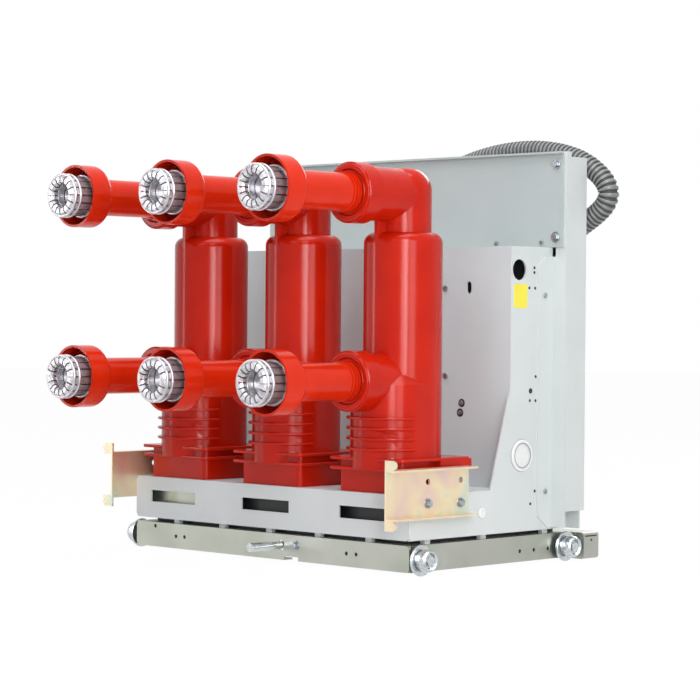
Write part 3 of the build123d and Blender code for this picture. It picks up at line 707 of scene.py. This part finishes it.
def addGapShadeStrips():
    low, high, side, width = gapShade["low"], gapShade["high"], gapShade["side"], gapShade["width"]
    strips = [addBar(place(-side, gapShade["rear"], low), place(side, gapShade["rear"] + width, high), gapShade["bevel"])]
    start = gapShade["rear"] + width + gapShade["cornerGap"]
    for left in (-side, side - width):
        far = place(left + width, gapShade["front"], high)
        strips.append(addBar(place(left, start, low), far, gapShade["bevel"]))
    finishPiece(joinPieces(strips), "gapShadeStrips", finishes["black_plastic"])


addGapShadeStrips()


# bent sheets inside the tray, behind its windows: grey behind the first, and behind the others a black sheet
# that is painted shade for the dark inside the tray
innerSheets = {
    "distance": -62.0,
    "low": 55.0,
    "high": 112.0,
    "flange": 14.0,
    "gauge": 1.5,
    "bendRadius": 0.6,
    "tolerance": 0.0001,     # in metres, for finding an edge by its place
    "spans": (               # name, left x, right x, slot
        ("innerSheetGrey", -284.0, -118.0, "truck_steel"),
        ("innerSheetPaintedShade", -116.0, 284.0, "black_plastic"),
    ),
}


def selectFlatEdge(sheet, height):   # the sheet's edge at this height, in its upright plane
    flat = along(innerSheets["distance"])
    for vertex in sheet.data.vertices:
        high = abs(vertex.co.z - height * mm) < innerSheets["tolerance"]
        vertex.select = high and abs(vertex.co.y - flat) < innerSheets["tolerance"]
    for edge in sheet.data.edges:
        edge.select = all(sheet.data.vertices[v].select for v in edge.vertices)


def addInnerSheet(name, left, right, slot):
    low, high = innerSheets["low"], innerSheets["high"]
    middle = place((left + right) / 2, innerSheets["distance"], (low + high) / 2)
    bpy.ops.object.select_all(action="DESELECT")
    bpy.ops.mesh.primitive_plane_add(size=1, location=middle, rotation=turnTo(facing["rear"]))
    sheet = bpy.context.object
    bpy.ops.object.transform_apply(location=False, rotation=True, scale=False)
    sheet.scale = ((right - left) * mm, 1, (high - low) * mm)
    bpy.ops.object.transform_apply(location=True, rotation=False, scale=True)
    for height in (low, high):
        bpy.ops.object.mode_set(mode="EDIT")
        bpy.ops.mesh.select_all(action="DESELECT")
        bpy.ops.object.mode_set(mode="OBJECT")
        selectFlatEdge(sheet, height)
        bpy.ops.object.mode_set(mode="EDIT")
        bpy.ops.mesh.extrude_region_move(TRANSFORM_OT_translate={"value": (0, innerSheets["flange"] * mm, 0)})
        bpy.ops.mesh.select_all(action="SELECT")
        bpy.ops.mesh.normals_make_consistent(inside=False)
        bpy.ops.object.mode_set(mode="OBJECT")
    applyModifier(sheet, "SOLIDIFY", {"thickness": innerSheets["gauge"] * mm})
    applyModifier(sheet, "BEVEL", {"width": innerSheets["bendRadius"] * mm})
    finishPiece(sheet, name, finishes[slot])


for span in innerSheets["spans"]:
    addInnerSheet(*span)
print("foam and inner sheets made")


# soft grey rings round each side cap, at its foot and at the edge of its dish: painted shade in the creases
capShadeRing = {"width": 0.9, "flatness": 0.4, "dishShare": 0.78, "ringSides": 64, "wireSides": 8}


def addCapShadeRings(side):
    low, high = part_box("side_cap_" + side)
    radius = (high[2] - low[2]) / 2
    outer = high[0] if side == "right" else low[0]
    middle = Vector((0, (low[1] + high[1]) / 2, (low[2] + high[2]) / 2))
    foot = math.copysign(sidePlane * mm, outer)
    made = []
    for share, x in ((1.0, foot), (capShadeRing["dishShare"], outer)):
        bpy.ops.mesh.primitive_torus_add(major_radius=radius * share, minor_radius=capShadeRing["width"] * mm,
                                         major_segments=capShadeRing["ringSides"],
                                         minor_segments=capShadeRing["wireSides"], rotation=turnTo(facing[side]))
        ring = bpy.context.object
        bpy.ops.object.transform_apply(location=False, rotation=True, scale=False)
        ring.scale = (capShadeRing["flatness"], 1, 1)
        ring.location = middle + Vector((x, 0, 0))
        bpy.ops.object.transform_apply(location=True, rotation=False, scale=True)
        bpy.ops.object.shade_smooth()
        made.append(ring)
    finishPiece(joinPieces(made), "capShadeRings_" + side, paintedShadeGrey)


for side in ("left", "right"):
    addCapShadeRings(side)


# plain yellow sticker on the right side plate
sticker = {"spot": (168.0, 408.6), "size": (31.5, 36.0), "thickness": 0.3, "bevel": 0.1}


def blankSticker():
    width, height = sticker["size"]
    bpy.ops.mesh.primitive_cube_add(size=1, location=place(sidePlane, *sticker["spot"]),
                                    scale=(sticker["thickness"] * mm, width * mm, height * mm))
    patch = bpy.context.object
    bpy.ops.object.transform_apply(location=True, rotation=True, scale=True)
    applyModifier(patch, "BEVEL", {"width": sticker["bevel"] * mm})
    finishPiece(patch, "blankSticker", yellowFoil())


blankSticker()
print("cap seals and sticker made")
